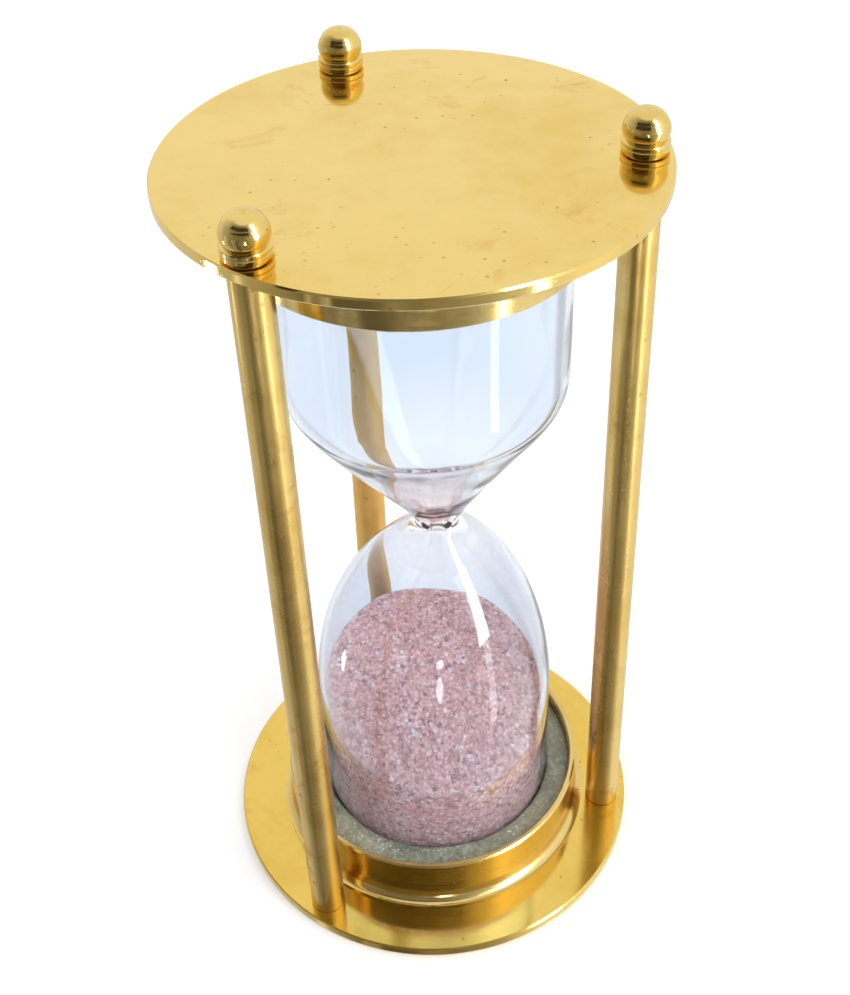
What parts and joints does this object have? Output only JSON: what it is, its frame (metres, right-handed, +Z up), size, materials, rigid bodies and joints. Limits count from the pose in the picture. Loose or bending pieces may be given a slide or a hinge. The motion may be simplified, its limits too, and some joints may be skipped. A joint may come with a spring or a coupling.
{
  "type": "hourglass",
  "caption": "Brass-framed hourglass: a waisted blown glass with sand held upright between two round discs by columns and ball finials.",
  "frame": {"origin": "centre of the base disc's flat underside, on the surface that the timer stands on", "axes": "+Z up the timer's axis, from the sand-filled end to the empty end; +Y towards the back column"},
  "size_m": [0.0762, 0.0762, 0.1482],
  "materials": {
    "base_brass": "polished",
    "top_brass": "polished",
    "collar_brass": "polished",
    "column_brass": "satin",
    "finial_brass": "polished",
    "screw_brass": "satin",
    "steel": "satin",
    "clear_glass": "gloss",
    "packing": "matte",
    "cushion": "matte",
    "plug": "matte",
    "sand": "matte"
  },
  "bodies": {
    "root": {"base_plate": "base_brass", "top_plate": "top_brass", "lower_collar": "collar_brass", "upper_collar": "collar_brass", "lower_packing_ring": "packing", "upper_packing_ring": "packing", "lower_cushion_disc": "cushion", "upper_cushion_disc": "cushion", "glass_bulbs": "clear_glass", "fill_plug": "plug", "sand": "sand", "column_front_left": "column_brass", "finial_front_left": "finial_brass", "stud_front_left": "steel", "base_screw_front_left": "screw_brass", "column_front_right": "column_brass", "finial_front_right": "finial_brass", "stud_front_right": "steel", "base_screw_front_right": "screw_brass", "column_back": "column_brass", "finial_back": "finial_brass", "stud_back": "steel", "base_screw_back": "screw_brass"}
  },
  "joints": []
}
